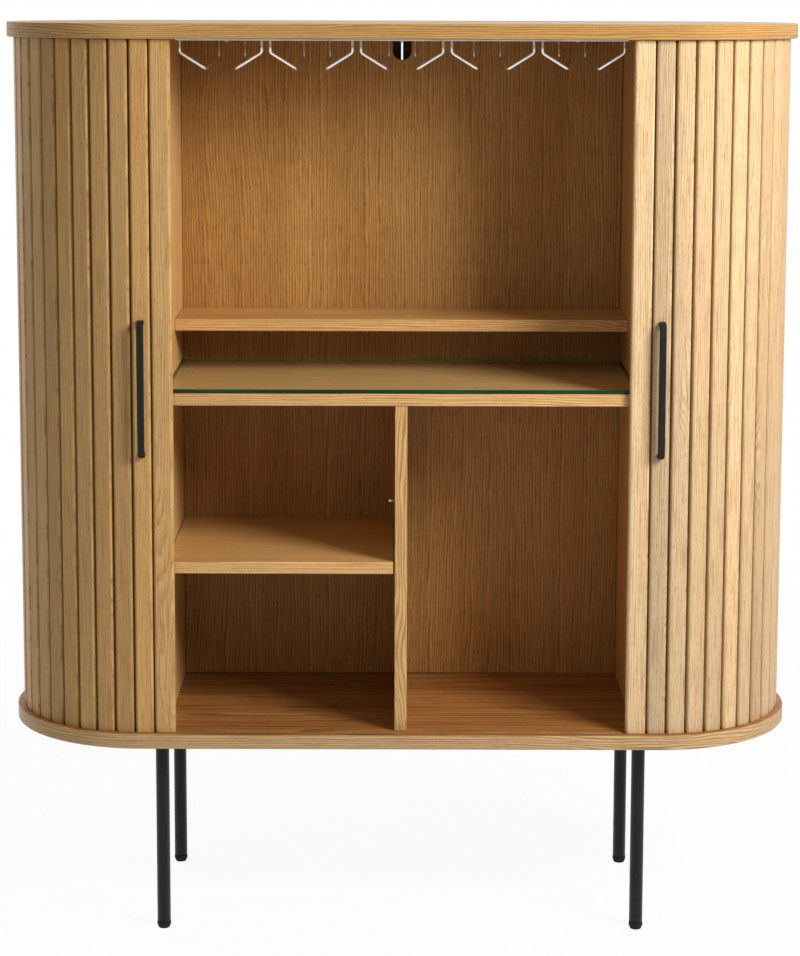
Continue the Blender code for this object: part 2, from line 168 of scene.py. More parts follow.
class Shader:
    """A material, or the studio's surround, under construction."""

    def __init__(self, name: str, owner: World | None = None) -> None:
        """Start an empty material, or empty the nodes of an owner that is given."""
        self.material = owner or bpy.data.materials.new(name)
        self.material.use_nodes = True
        self.tree = self.material.node_tree
        self.tree.nodes.clear()

    def node(self, kind: str, settings: dict | None = None, inputs: dict | None = None) -> Node:
        """Add a node.

        Args:
            kind: Type of the node.
            settings: Its own settings, set first.
            inputs: Values or links of its sockets, by name or number.

        Returns:
            The node.
        """
        made = self.tree.nodes.new(kind)
        for name, setting in (settings or {}).items():
            setattr(made, name, setting)
        for key, value in (inputs or {}).items():
            if isinstance(value, Value):
                value = value.socket
            if isinstance(value, NodeSocket):
                self.tree.links.new(value, made.inputs[key])
            elif made.inputs[key].type == "RGBA":
                made.inputs[key].default_value = (*value, 1.0)
            else:
                made.inputs[key].default_value = value
        return made

    def value(self, node: Node, output: str | int = 0) -> Value:
        """One output of a node as a value."""
        return Value(self, node.outputs[output])

    def here(self) -> NodeSocket:
        """The place on the object."""
        return self.node("ShaderNodeTexCoord").outputs["Object"]

    def noise(self, where: NodeSocket, scale: float | tuple[float, ...], detail: float = 2.0,
              roughness: float = 0.5) -> Value:
        """Cloudy noise.

        Args:
            where: Coordinate to read it at.
            scale: How fine it is, as one number or as one for each axis.
            detail: Number of finer layers.
            roughness: Strength of the finer layers.

        Returns:
            A value about one half.
        """
        if isinstance(scale, tuple):
            stretch = {"Vector": where, "Scale": (*scale, 1.0)[:3]}
            where, scale = self.node("ShaderNodeMapping", {}, stretch).outputs[0], 1.0
        inputs = {"Vector": where, "Scale": scale, "Detail": detail, "Roughness": roughness}
        return self.value(self.node("ShaderNodeTexNoise", {"noise_dimensions": "3D"}, inputs))

    def blend(self, share: Value, first: Colour | NodeSocket, second: Colour | NodeSocket) -> NodeSocket:
        """Mix two colours.

        Args:
            share: Share of the second colour.
            first: Colour at share 0.
            second: Colour at share 1.

        Returns:
            The mixed colour.
        """
        return self.node("ShaderNodeMix", {"data_type": "RGBA", "blend_type": "MIX"},
                         {0: share, 6: first, 7: second}).outputs[2]

    def scaled(self, colour: NodeSocket, factor: Value) -> NodeSocket:
        """A colour made lighter or darker by a factor."""
        inputs = {0: colour, 3: factor}
        return self.node("ShaderNodeVectorMath", {"operation": "SCALE"}, inputs).outputs[0]

    def bump(self, height: Value, distance: float, strength: float) -> NodeSocket:
        """A relief from a height between 0 and 1."""
        inputs = {"Height": height, "Distance": distance, "Strength": strength}
        return self.node("ShaderNodeBump", {}, inputs).outputs[0]

    def surface(self, **inputs: object) -> NodeSocket:
        """A Principled surface; underscores in the names stand for spaces."""
        named = {name.replace("_", " "): value for name, value in inputs.items()}
        return self.node("ShaderNodeBsdfPrincipled", {}, named).outputs[0]

    def mixed(self, share: Value, first: NodeSocket, second: NodeSocket) -> NodeSocket:
        """Two surfaces in one, by the share of the second."""
        return self.node("ShaderNodeMixShader", {}, {0: share, 1: first, 2: second}).outputs[0]

    def finish(self, surface: NodeSocket) -> Material:
        """Close the material with its surface."""
        self.node("ShaderNodeOutputMaterial", {}, {"Surface": surface})
        return self.material


# --- finishes


@dataclass(frozen=True)
class OakVeneer:
    """Lacquered oak veneer, laid along the piece's own grain map.

    The growth rings are lines across the map, bent by a slow figure, and broken up by dashes of
    coarse grain and by short open pores. A scale is how fine a pattern is across and along.
    """

    name: str
    pale: Colour = (0.60, 0.370, 0.140)
    mid: Colour = (0.50, 0.285, 0.092)
    dark: Colour = (0.24, 0.115, 0.032)
    # The wash's pale colour: a paler leaf on most pieces, and painted sheen where a piece's wash is
    # raised for the lamp's light (the right door, the middle shelf).
    straw_and_sheen: Colour = (0.645, 0.505, 0.330)
    pitch: float = 270.0
    figure: float = 11.0
    figure_scale: Pair = (20.0, 4.5)
    waver: float = 0.9
    line: float = 0.24
    dash: float = 0.26
    dash_scale: Pair = (620.0, 13.0)
    pore: float = 0.50
    gloss: float = 0.42
    specular: float = 0.28
    cloud_scale: Pair = (9.0, 0.9)
    band_scale: Pair = (55.0, 0.7)
    band_bend: float = 3.2
    band_dark: float = 0.16
    wild_scale: Pair = (5.0, 1.1)
    wild_ramp: tuple[float, ...] = (0.46, 0.66, 0.12, 1.0)
    waver_scale: Pair = (130.0, 12.0)
    pore_scale: Pair = (1300.0, 75.0)
    dash_ramp: Pair = (0.47, 0.66)
    pore_ramp: Pair = (0.56, 0.68)
    late_start: float = 0.25
    late_end: float = 0.88
    gloss_spread: float = 0.05
    pore_dulling: float = 0.12
    relief_depth: float = 0.0004
    relief_strength: float = 0.35

    def build(self) -> Material:
        """Make the material."""
        shader = Shader(self.name)
        grain = shader.node("ShaderNodeUVMap", {"uv_map": GRAIN_MAP}).outputs[0]
        across = shader.value(shader.node("ShaderNodeSeparateXYZ", {}, {0: grain}))
        tone, wash = (shader.value(shader.node("ShaderNodeAttribute", {"attribute_name": layer}), "Fac")
                      for layer in (TONE, WASH))
        cloud = shader.noise(grain, self.cloud_scale)
        bands = shader.noise(grain, self.band_scale)
        wild = shader.noise(grain, self.wild_scale, 1.0).ramp(*self.wild_ramp)
        figure = shader.noise(grain, self.figure_scale, 1.0, 0.4)
        waver = shader.noise(grain, self.waver_scale)
        coarse = shader.noise(grain, self.dash_scale, 2.5, 0.6)
        fine = shader.noise(grain, self.pore_scale, 1.5)
        bend = figure * wild * self.figure + bands * self.band_bend
        ring = (bend + across * self.pitch + waver * self.waver).fraction()
        late = ring.ramp(self.late_start, self.late_end) * ring.ramp(self.late_end, 1.0, 1.0, 0.0)
        dashes = coarse.ramp(*self.dash_ramp)
        pores = fine.ramp(*self.pore_ramp) * (late * 0.6 + 0.4)
        colour = shader.blend(cloud.ramp(*NOISE_SPAN), self.pale, self.mid)
        # Mixing in the pale colour by the wash: paler leaves, and painted sheen on the pieces whose wash
        # stands for it.
        colour = shader.blend(wash, colour, self.straw_and_sheen)
        for share in (bands.ramp(0.4, 0.75, 0.0, self.band_dark), late * self.line, dashes * self.dash,
                      pores * self.pore):
            colour = shader.blend(share, colour, self.dark)
        relief = 1.0 - (pores * 0.6 + dashes * 0.3 + late * 0.1)
        gloss = cloud.ramp(*NOISE_SPAN, self.gloss - self.gloss_spread, self.gloss + self.gloss_spread)
        return shader.finish(shader.surface(
            Base_Color=shader.scaled(colour, tone), Roughness=gloss + pores * self.pore_dulling,
            Specular_IOR_Level=self.specular,
            Normal=shader.bump(relief, self.relief_depth, self.relief_strength)))


@dataclass(frozen=True)
class BackingCanvas:
    """Brown woven canvas behind the slats."""

    name: str = "tambour_canvas"
    thread: float = 0.0012
    thread_depth: float = 0.0003
    hollow: Colour = (0.230, 0.135, 0.058)
    raised: Colour = (0.380, 0.240, 0.115)

    def build(self) -> Material:
        """Make the material."""
        shader = Shader(self.name)
        where = shader.here()
        parts = shader.node("ShaderNodeSeparateXYZ", {}, {0: where})
        turns = 2.0 * math.pi / self.thread
        warp = ((shader.value(parts, 0) + shader.value(parts, 1)) * turns).wave()
        weft = (shader.value(parts, 2) * turns).wave()
        weave = (warp * weft).ramp(-1.0, 1.0)
        dust = shader.noise(where, 18.0, 4.0)
        return shader.finish(shader.surface(
            Base_Color=shader.blend(weave * dust, self.hollow, self.raised),
            Roughness=dust.ramp(0.2, 0.8, 0.82, 0.95), Normal=shader.bump(weave, self.thread_depth, 0.6)))


@dataclass(frozen=True)
class BlackCoat:
    """Black powder coat or moulded plastic, with a fine skin."""

    name: str
    colour: Colour
    gloss: float
    skin: float
    relief: float
    specular: float = 0.16
    worn_tone: float = 1.6
    gloss_spread: float = 0.07

    def build(self) -> Material:
        """Make the material."""
        shader = Shader(self.name)
        where = shader.here()
        skin = shader.noise(where, self.skin, 2.0)
        cloud = shader.noise(where, 25.0, 3.0)
        worn = tuple(part * self.worn_tone for part in self.colour)
        gloss = (skin * 0.4 + cloud * 0.6).ramp(
            *NOISE_SPAN, self.gloss - self.gloss_spread, self.gloss + self.gloss_spread)
        return shader.finish(shader.surface(
            Base_Color=shader.blend(cloud.ramp(0.3, 0.75), self.colour, worn), Roughness=gloss,
            Specular_IOR_Level=self.specular, Normal=shader.bump(skin, self.relief, 0.3)))


@dataclass(frozen=True)
class BrightMetal:
    """Plated steel with a faint drawn texture."""

    name: str
    colour: Colour = (0.86, 0.86, 0.86)
    gloss: float = 0.28
    haze: float = 0.08
    dull_tone: float = 0.86
    drawn_scale: Triple = (220.0, 60.0, 220.0)
    drawn_depth: float = 0.00005

    def build(self) -> Material:
        """Make the material."""
        shader = Shader(self.name)
        where = shader.here()
        drawn = shader.noise(where, self.drawn_scale, 3.0)
        cloud = shader.noise(where, 30.0, 2.0)
        dull = tuple(part * self.dull_tone for part in self.colour)
        return shader.finish(shader.surface(
            Base_Color=shader.blend(cloud.ramp(0.35, 0.7), self.colour, dull), Metallic=1.0,
            Roughness=cloud.ramp(*NOISE_SPAN, self.gloss, self.gloss + self.haze),
            Normal=shader.bump(drawn, self.drawn_depth, 0.15)))


@dataclass(frozen=True)
class PlateGlass:
    """The flat faces of clear glass: a clear sheet with a mirror over it that grows at low angles."""

    name: str = "clear_plate"
    tint: Colour = (0.978, 0.992, 0.968)
    body: Colour = (0.01, 0.03, 0.02)
    square_share: float = 0.02
    low_share: float = 0.09
    growth: float = 5.0
    smear_share: float = 0.01

    def build(self) -> Material:
        """Make the material."""
        shader = Shader(self.name)
        smear = shader.noise(shader.here(), 6.0, 3.0)
        facing = shader.value(shader.node("ShaderNodeLayerWeight", {}, {"Blend": 0.5}), "Facing")
        mirror = facing ** self.growth * self.low_share + self.square_share
        clear = shader.node("ShaderNodeBsdfTransparent", {}, {"Color": self.tint}).outputs[0]
        skin = shader.surface(Base_Color=self.body, Roughness=smear.ramp(*NOISE_SPAN, 0.015, 0.05),
                              Specular_IOR_Level=1.0, Coat_Weight=1.0, Coat_Roughness=0.02)
        return shader.finish(shader.mixed(mirror + smear * self.smear_share, clear, skin))


@dataclass(frozen=True)
class GlassEdge:
    """The ground edge of the glass, where its green shows."""

    name: str
    deep: Colour
    light: Colour
    specular: float = 0.12
    streak_scale: Triple = (9.0, 9.0, 500.0)

    def build(self) -> Material:
        """Make the material."""
        shader = Shader(self.name)
        streak = shader.noise(shader.here(), self.streak_scale, 3.0)
        return shader.finish(shader.surface(
            Base_Color=shader.blend(streak.ramp(0.35, 0.7), self.deep, self.light),
            Roughness=streak.ramp(*NOISE_SPAN, 0.10, 0.25), Specular_IOR_Level=self.specular))


class Finish(Enum):
    """The finishes of the sideboard, each made a material when a piece first wears it."""

    SLATS = OakVeneer("oak_slat_veneer", pitch=310.0, figure=20.0, line=0.38, dash=0.46, pore=0.66,
                      specular=0.22)
    BANDS = OakVeneer("oak_edge_veneer", pale=(0.52, 0.309, 0.108), mid=(0.43, 0.237, 0.074),
                      dark=(0.17, 0.070, 0.018), pitch=290.0, figure=8.0, figure_scale=(26.0, 6.0),
                      line=0.62, dash=0.34)
    TOP = OakVeneer("oak_top_veneer", pale=(0.56, 0.330, 0.130), mid=(0.47, 0.255, 0.088),
                    dark=(0.22, 0.098, 0.027), pitch=150.0, line=0.36, dash=0.36,
                    dash_scale=(420.0, 8.0), gloss=0.32, specular=0.34)
    BASE = OakVeneer("oak_slab_veneer", pale=(0.45, 0.210, 0.064), mid=(0.35, 0.141, 0.036),
                     dark=(0.12, 0.038, 0.007), pitch=80.0, figure=2.5, waver=0.4, line=0.62, dash=0.50,
                     dash_scale=(210.0, 2.0), gloss=0.36)
    BOARDS = OakVeneer("oak_board_veneer", pale=(0.60, 0.355, 0.130), mid=(0.53, 0.293, 0.099),
                       dark=(0.26, 0.115, 0.030), line=0.24, dash=0.28, gloss=0.34)
    BACK = OakVeneer("oak_back_veneer", pale=(0.49, 0.268, 0.084), mid=(0.42, 0.212, 0.060),
                     dark=(0.12, 0.044, 0.008), pitch=230.0, figure=4.0, waver=1.3, line=0.52, dash=0.36,
                     dash_scale=(760.0, 24.0), pore=0.72, specular=0.14)
    CANVAS = BackingCanvas()
    STEEL = BlackCoat("black_powder_coat", (0.009, 0.009, 0.009), 0.40, 900.0, 0.00012)
    PLASTIC = BlackCoat("black_cap_plastic", (0.010, 0.010, 0.010), 0.55, 1800.0, 0.00008)
    CHROME = BrightMetal("chromed_wire")
    ZINC = BrightMetal("zinced_steel", (0.50, 0.50, 0.49), 0.26, 0.12)
    GLASS = PlateGlass()
    GLASS_EDGE = GlassEdge("glass_edge", (0.003, 0.020, 0.008), (0.010, 0.045, 0.018))
    # The rear arris is painted light green: a painted glow of the light piped through the plate, not the
    # glass's own colour.
    GLASS_ARRIS = GlassEdge("glass_rear_arris", (0.17, 0.38, 0.14), (0.26, 0.52, 0.22))

    def material(self) -> Material:
        """The material of this finish."""
        return bpy.data.materials.get(self.value.name) or self.value.build()


# --- shapes


def shade_round_faces(shape: BMesh) -> None:
    """Shade bends and rounded edges smooth, and leave the faces square to an axis flat."""
    shape.normal_update()
    for face in shape.faces:
        face.smooth = max(abs(part) for part in face.normal) <= SQUARE


def as_mesh(shape: BMesh, name: str) -> Mesh:
    """Turn a shape into a mesh, and use it up."""
    mesh = bpy.data.meshes.new(name)
    shape.to_mesh(mesh)
    shape.free()
    return mesh


def put_in_scene(name: str, data: ID) -> Object:
    """Make an object of a mesh, a lamp or a camera."""
    made = bpy.data.objects.new(name, data)
    bpy.context.scene.collection.objects.link(made)
    return made


def deliver(shape: BMesh, name: str, finishes: Sequence[Finish], slot: str, *nodes: str,
            body: str = CARCASS, shaded: bool = False) -> None:
    """Turn a finished shape into a piece of the model that rides on a body.

    Args:
        shape: The shape, in the frame of the model; it is used up.
        name: Name of the piece.
        finishes: Its finishes, in the order of the faces' material numbers.
        slot: The record's material slot; not used.
        nodes: CAD nodes that it stands for.
        body: The body that carries it.
        shaded: Whether its faces keep the shading they have.
    """
    if not shaded:
        shade_round_faces(shape)
    mesh = as_mesh(shape, name)
    for finish in finishes:
        mesh.materials.append(finish.material())
    piece = put_in_scene(name, mesh)
    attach(piece, body)
    if nodes:
        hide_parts(*nodes)
    logging.info("%s: %d faces on %s", name, len(mesh.polygons), body)


def block(shape: BMesh, low: Sequence[float], high: Sequence[float]) -> None:
    """Add a box between two opposite corners."""
    low, high = Vector(low), Vector(high)
    place = Matrix.Translation((low + high) / 2) @ Matrix.Diagonal((*(high - low), 1.0))
    bmesh.ops.create_cube(shape, size=1.0, matrix=place)


def ease(shape: BMesh, edges: Iterable[BMEdge], width: float, steps: int) -> None:
    """Round edges of a shape by a width, in a number of steps."""
    bmesh.ops.bevel(shape, geom=list(edges), offset=width, offset_type="OFFSET", segments=steps,
                    profile=0.5, affect="EDGES", clamp_overlap=True, material=-1)


def sharp_edges(shape: BMesh, angle: float = 40.0) -> list[BMEdge]:
    """The edges at which two faces meet at more than an angle in degrees."""
    return [edge for edge in shape.edges if len(edge.link_faces) == 2
            and edge.calc_face_angle(0.0) > math.radians(angle)]


def rise_of(edge: BMEdge) -> float:
    """How much higher one end of an edge lies than the other."""
    return abs(edge.verts[0].co.z - edge.verts[1].co.z)


def face_outwards(shape: BMesh) -> None:
    """Turn every face of a closed shape outwards."""
    bmesh.ops.recalc_face_normals(shape, faces=shape.faces)


def move(shape: BMesh, place: Matrix) -> None:
    """Move a whole shape to a place."""
    bmesh.ops.transform(shape, matrix=place, verts=shape.verts)


def draw_out(shape: BMesh, faces: Sequence[BMFace], way: Sequence[float]) -> None:
    """Extrude faces as one region along a vector."""
    drawn = bmesh.ops.extrude_face_region(shape, geom=faces)["geom"]
    bmesh.ops.translate(shape, vec=way, verts=[part for part in drawn if isinstance(part, BMVert)])


def raise_outline(shape: BMesh, points: Iterable[Sequence[float]], lift: Vector) -> None:
    """Fill a flat outline and raise it to a closed prism.

    Args:
        shape: Shape to add it to.
        points: Corners of the outline, in order.
        lift: How far, and which way, it is raised.
    """
    draw_out(shape, [shape.faces.new([shape.verts.new(point) for point in points])], lift)
    face_outwards(shape)


def turned(profile: Sequence[Pair], steps: int) -> BMesh:
    """Turn a profile round the Z axis.

    Args:
        profile: Points of radius and height, the first and the last on the axis.
        steps: Number of steps of the turn.

    Returns:
        The closed shape.
    """
    shape = bmesh.new()
    points = [shape.verts.new((radius, 0.0, height)) for radius, height in profile]
    wire = [shape.edges.new(pair) for pair in zip(points, points[1:])]
    bmesh.ops.spin(shape, geom=[*points, *wire], cent=(0.0, 0.0, 0.0), axis=(0.0, 0.0, 1.0),
                   angle=2.0 * math.pi, steps=steps, use_merge=True, use_normal_flip=False,
                   use_duplicate=False)
    bmesh.ops.remove_doubles(shape, verts=shape.verts, dist=1e-6)
    face_outwards(shape)
    return shape


def arc(centre: Pair, radius: float, start: float, end: float, steps: int) -> list[Pair]:
    """Points of an arc, for a turned profile or a plan outline.

    Args:
        centre: Centre of the arc.
        radius: Its radius.
        start: First angle in degrees.
        end: Last angle in degrees.
        steps: Number of steps.

    Returns:
        The points, both ends included.
    """
    turns = [math.radians(start + (end - start) * step / steps) for step in range(steps + 1)]
    return [(centre[0] + radius * math.cos(turn), centre[1] + radius * math.sin(turn)) for turn in turns]


def join(target: BMesh, part: BMesh, place: Matrix | None = None) -> None:
    """Add a part to a shape at a place, and use the part up."""
    if place is not None:
        move(part, place)
    mesh = as_mesh(part, "joining")
    target.from_mesh(mesh)
    bpy.data.meshes.remove(mesh)


class GrainLayers:
    """The layers by which a shape's faces carry their grain map, tone and pale wash; on some pieces the
    tone and wash carry painted highlight and sheen.
    """

    def __init__(self, shape: BMesh) -> None:
        """Add the layers to a shape, and bring its normals up to date."""
        shape.normal_update()
        self.map = shape.loops.layers.uv.new(GRAIN_MAP)
        self.tone = shape.faces.layers.float.new(TONE)
        self.wash = shape.faces.layers.float.new(WASH)

    def lay(self, face: BMFace, tone: float, wash: float,
            place: Callable[[Vector], Sequence[float]]) -> None:
        """Dress one face.

        Args:
            face: The face.
            tone: Its brightness, 1 for the plain veneer.
            wash: How far it is washed with straw.
            place: Gives a corner's place on the grain map.
        """
        face[self.tone], face[self.wash] = tone, wash
        for loop in face.loops:
            loop[self.map].uv = place(loop.vert.co)

    @staticmethod
    def leaf(chance: random.Random) -> Pair:
        """A random place on the grain map, at which a piece's leaf of veneer is cut."""
        return chance.uniform(0.0, LEAF_SPREAD), chance.uniform(0.0, LEAF_SPREAD)


class Sweep:
    """A cross-section that is carried along a path of straight runs and bends."""

    def __init__(self, shape: BMesh, section: BMFace, heading: Vector) -> None:
        """Start from a section face and the direction that it leaves in."""
        self.shape = shape
        self.face = section
        self.heading = heading.normalized()

    def step(self) -> list[BMVert]:
        """Draw the section out in place and return its new corners."""
        self.face = bmesh.ops.extrude_discrete_faces(self.shape, faces=[self.face])["faces"][0]
        return list(self.face.verts)

    def forward(self, length: float) -> None:
        """Carry the section straight on."""
        bmesh.ops.translate(self.shape, vec=self.heading * length, verts=self.step())

    def bend(self, target: Vector, radius: float, steps: int) -> None:
        """Carry the section round a bend.

        Args:
            target: Direction after the bend, of length 1.
            radius: Radius of the bend's middle line.
            steps: Number of steps.
        """
        axis = self.heading.cross(target).normalized()
        middle = self.face.calc_center_median() + axis.cross(self.heading) * radius
        turn = Matrix.Rotation(self.heading.angle(target) / steps, 3, axis)
        for _ in range(steps):
            bmesh.ops.rotate(self.shape, cent=middle, matrix=turn, verts=self.step())
        self.heading = target

    def follow(self, points: Sequence[Vector], radius: float, steps: int) -> None:
        """Carry the section through corner points, and close its open start.

        Args:
            points: The path's corners, the first where the section stands.
            radius: Radius of the bend at every inner corner.
            steps: Number of steps in a bend.
        """
        at = points[0]
        for corner, after in zip(points[1:], points[2:]):
            ahead = (after - corner).normalized()
            reach = radius * math.tan(self.heading.angle(ahead) / 2)
            self.forward((corner - at).length - reach)
            self.bend(ahead, radius, steps)
            at = corner + ahead * reach
        self.forward((points[-1] - at).length)
        bmesh.ops.holes_fill(self.shape, edges=[edge for edge in self.shape.edges if edge.is_boundary])
        face_outwards(self.shape)


# --- fasteners


@dataclass(frozen=True)
class PanScrew:
    """A small domed screw head with a cross recess, looking along +Z from its seat."""

    radius: float = 0.0036
    height: float = 0.0018
    crown: float = 1.30
    lip: float = 0.0003
    recess: float = 0.0012
    recess_rim: float = 0.0002
    waist: float = 0.30
    steps: int = 32

    def shape(self) -> BMesh:
        """Make the head on its seat at the origin."""
        crown = arc((0.0, -self.radius), self.radius * self.crown, 52.0, 78.0, 5)
        widest, low = crown[0]
        rise = self.height / (crown[-1][1] - low)
        profile = [(0.0, 0.0), (self.radius, 0.0)]
        profile += [(reach * self.radius / widest, self.lip + (high - low) * rise)
                    for reach, high in crown]
        shape = turned([*profile, (0.0, self.lip + self.height)], self.steps)
        self.cut_cross(shape)
        return shape

    def cut_cross(self, shape: BMesh) -> None:
        """Press a four-lobed recess into the middle of the head."""
        top = max(vert.co.z for vert in shape.verts)
        middle = [vert for vert in shape.verts if vert.co.z > top - NEAR and vert.co.xy.length < NEAR]
        bmesh.ops.delete(shape, geom=middle, context="VERTS")
        rim = [edge for edge in shape.edges if edge.is_boundary]
        floor = bmesh.ops.holes_fill(shape, edges=rim)["faces"]
        bmesh.ops.inset_region(shape, faces=floor, thickness=self.recess_rim)
        for vert in floor[0].verts:
            angle = math.atan2(vert.co.y, vert.co.x)
            lobe = self.waist + (1.0 - self.waist) * abs(math.cos(2.0 * angle)) ** 3
            vert.co.xy = Vector((math.cos(angle), math.sin(angle))) * vert.co.xy.length * lobe
        sunk = bmesh.ops.extrude_discrete_faces(shape, faces=floor)["faces"]
        bmesh.ops.translate(shape, vec=(0.0, 0.0, -self.recess), verts=sunk[0].verts)
        face_outwards(shape)

    def drive_up(self, name: str, slot: str, spots: Iterable[Pair], place: Matrix) -> None:
        """Deliver a set of screws that look down.

        Args:
            name: Name of the set.
            slot: The record's material slot.
            spots: Where they stand in plan.
            place: The plan's origin, on the face that they are driven into.
        """
        shape = bmesh.new()
        turn = Matrix.Rotation(math.pi, 4, "X")
        for x, y in spots:
            join(shape, self.shape(), place @ Matrix.Translation((x, y, 0.0)) @ turn)
        deliver(shape, name, [Finish.ZINC], slot)


@dataclass(frozen=True)
class ShelfPin:
    """A turned steel pin that carries a loose shelf, lying along +X from the face of a panel."""

    radius: float = 0.0025
    reach: float = 0.009
    seat: float = 0.0015
    edge: float = 0.0005
    steps: int = 24

    def shape(self) -> BMesh:
        """Make the pin, its foot just inside the panel."""
        end = self.reach - self.edge
        profile = [(0.0, -self.seat), (self.radius, -self.seat), (self.radius, end)]
        profile += arc((self.radius - self.edge, end), self.edge, 0.0, 90.0, 3)[1:]
        shape = turned([*profile, (0.0, self.reach)], self.steps)
        move(shape, Matrix.Rotation(math.pi / 2, 4, "Y"))
        return shape


# --- carcass


@dataclass(frozen=True)
class Slab:
    """The top or base board with two half-round ends and the groove of the doors' track."""

    name: str
    node: str
    slot: str
    finish: Finish
    low: float
    groove_below: bool
    band_wash: float = 0.0
    edge_round: float = 0.002
    groove_half: float = 0.0025
    groove_depth: float = 0.0065
    end_steps: int = 72
    flat_rise: float = 0.72

    def outline(self, shape: BMesh) -> BMFace:
        """Spin the two round ends, join them and fill the plan.

        Args:
            shape: Shape to draw it in.

        Returns:
            The plan face at the slab's underside.
        """
        ends = []
        for side in (1.0, -1.0):
            start = shape.verts.new((side * END_CENTRE, -side * HALF_DEPTH, self.low))
            spun = bmesh.ops.spin(shape, geom=[start], cent=(side * END_CENTRE, 0.0, self.low),
                                  axis=(0.0, 0.0, 1.0), angle=math.pi, steps=self.end_steps)["geom_last"]
            ends.append((start, next(part for part in spun if isinstance(part, BMVert))))
        shape.edges.new((ends[0][1], ends[1][0]))
        shape.edges.new((ends[1][1], ends[0][0]))
        return bmesh.ops.contextual_create(shape, geom=shape.edges[:])["faces"][0]

    def build(self) -> None:
        """Make the slab and dress its faces and its edge band."""
        shape = bmesh.new()
        draw_out(shape, [self.outline(shape)], (0.0, 0.0, SLAB))
        face_outwards(shape)
        ease(shape, sharp_edges(shape), self.edge_round, 5)
        self.sink_groove(shape)
        self.lay_grain(shape)
        deliver(shape, self.name, [self.finish, Finish.BANDS], self.slot, self.node)

    def sink_groove(self, shape: BMesh) -> None:
        """Inset the face that meets the doors twice and sink the ring between."""
        inward = -1.0 if self.groove_below else 1.0
        shape.normal_update()
        face = max(shape.faces, key=lambda f: (f.normal.z * inward, f.calc_area()))
        start = HALF_DEPTH - self.edge_round - GROOVE_LINE - self.groove_half
        for width in (start, 2 * self.groove_half):
            inset = bmesh.ops.inset_region(shape, faces=[face], thickness=width, use_even_offset=True)
        ring = inset["faces"]
        draw_out(shape, ring, (0.0, 0.0, -inward * self.groove_depth))
        bmesh.ops.delete(shape, geom=[face for face in ring if face.is_valid], context="FACES")
        bmesh.ops.delete(shape, geom=[edge for edge in shape.edges if edge.is_wire], context="EDGES")
        face_outwards(shape)

    def lay_grain(self, shape: BMesh) -> None:
        """Run the grain along the length, and along the rim in the edge band."""
        chance = random.Random(self.name)
        leaf, band = Vector(GrainLayers.leaf(chance)), Vector(GrainLayers.leaf(chance))
        layers = GrainLayers(shape)
        for face in shape.faces:
            if abs(face.normal.z) > self.flat_rise:
                layers.lay(face, 1.0, 0.0, lambda corner: Vector((corner.y, corner.x)) + leaf)
                continue
            face.material_index = 1
            middle = face.calc_center_median()
            ahead = Vector((-face.normal.y, face.normal.x, 0.0)).normalized()
            start = self.rim_distance(middle)
            layers.lay(face, 1.0, self.band_wash, lambda corner: Vector(
                (corner.z, start + (corner - middle).dot(ahead))) + band)

    @staticmethod
    def rim_distance(point: Vector) -> float:
        """Distance along the rim to a point, from the middle of the front."""
        if abs(point.x) <= END_CENTRE:
            return point.x if point.y < 0 else 2 * END_CENTRE + math.pi * HALF_DEPTH - point.x
        angle = math.atan2(abs(point.x) - END_CENTRE, -point.y)
        return math.copysign(END_CENTRE + angle * HALF_DEPTH, point.x)


class Grain(Enum):
    """The axis along which the grain of a board runs."""

    ALONG_X = 0
    ALONG_Z = 2


@dataclass(frozen=True)
class BayBoard:
    """One veneered board of the compartments, between two corners.

    Its leaf of veneer has a brightness of its own and a pale wash, and the band on its front
    edge a tone; a band_tone of 0 stands for a board without a band. Raised brightness, wash and
    band tones are in part painted light; the list of boards says where.
    """

    name: str
    node: str
    grain: Grain
    low: Vector
    high: Vector
    brightness: float = 1.0
    straw_and_sheen: float = 0.0
    band_tone: float = 1.20
    arris: float = 0.0008
    slot: str = "oak_boards"
    finishes: tuple[Finish, ...] = (Finish.BOARDS, Finish.BANDS)

    def shape(self) -> BMesh:
        """Make the board with eased edges."""
        shape = bmesh.new()
        block(shape, self.low, self.high)
        ease(shape, shape.edges[:], self.arris, 3)
        return shape

    def build(self) -> None:
        """Make the board and dress its faces and its front band."""
        shape = self.shape()
        self.lay_grain(shape)
        deliver(shape, self.name, self.finishes, self.slot, self.node)

    def lay_grain(self, shape: BMesh) -> None:
        """Run the grain over each face, which looks along an axis, and mark the front band."""
        chance = random.Random(self.name)
        leaves = [GrainLayers.leaf(chance) for _ in range(3)]
        tone = chance.uniform(0.97, 1.03) * self.brightness
        reach = self.high - self.low
        layers = GrainLayers(shape)
        for face in shape.faces:
            facing = max(range(3), key=lambda axis: abs(face.normal[axis]))
            flat = [axis for axis in range(3) if axis != facing]
            along = self.grain.value
            if along == facing:
                along = max(flat, key=lambda axis: reach[axis])
            across = next(axis for axis in flat if axis != along)
            look = tone, self.straw_and_sheen
            if self.band_tone and facing == 1 and face.normal.y < 0:
                face.material_index = 1
                look = self.band_tone, BAND_WASH
            leaf = leaves[facing]
            layers.lay(face, *look, lambda corner: (corner[across] + leaf[0], corner[along] + leaf[1]))


@dataclass(frozen=True)
class NotchedBack(BayBoard):
    """The back of the compartments, with a round-bottomed cable notch in its top edge."""

    notch_half: float = 0.0143
    notch_height: float = 0.038
    notch_steps: int = 24

    def shape(self) -> BMesh:
        """Make the back with eased edges, cut round its notch."""
        low, high, half = self.low, self.high, self.notch_half
        notch = arc((0.0, TOP_UNDERSIDE - self.notch_height + half), half, 180.0, 360.0, self.notch_steps)
        outline = [(-half, high.z), *notch, (half, high.z), (high.x, high.z), (high.x, low.z),
                   (low.x, low.z), (low.x, high.z)]
        shape = bmesh.new()
        raise_outline(shape, [(x, low.y, z) for x, z in outline], Vector((0.0, high.y - low.y, 0.0)))
        ease(shape, sharp_edges(shape), self.arris, 2)
        face_outwards(shape)
        return shape


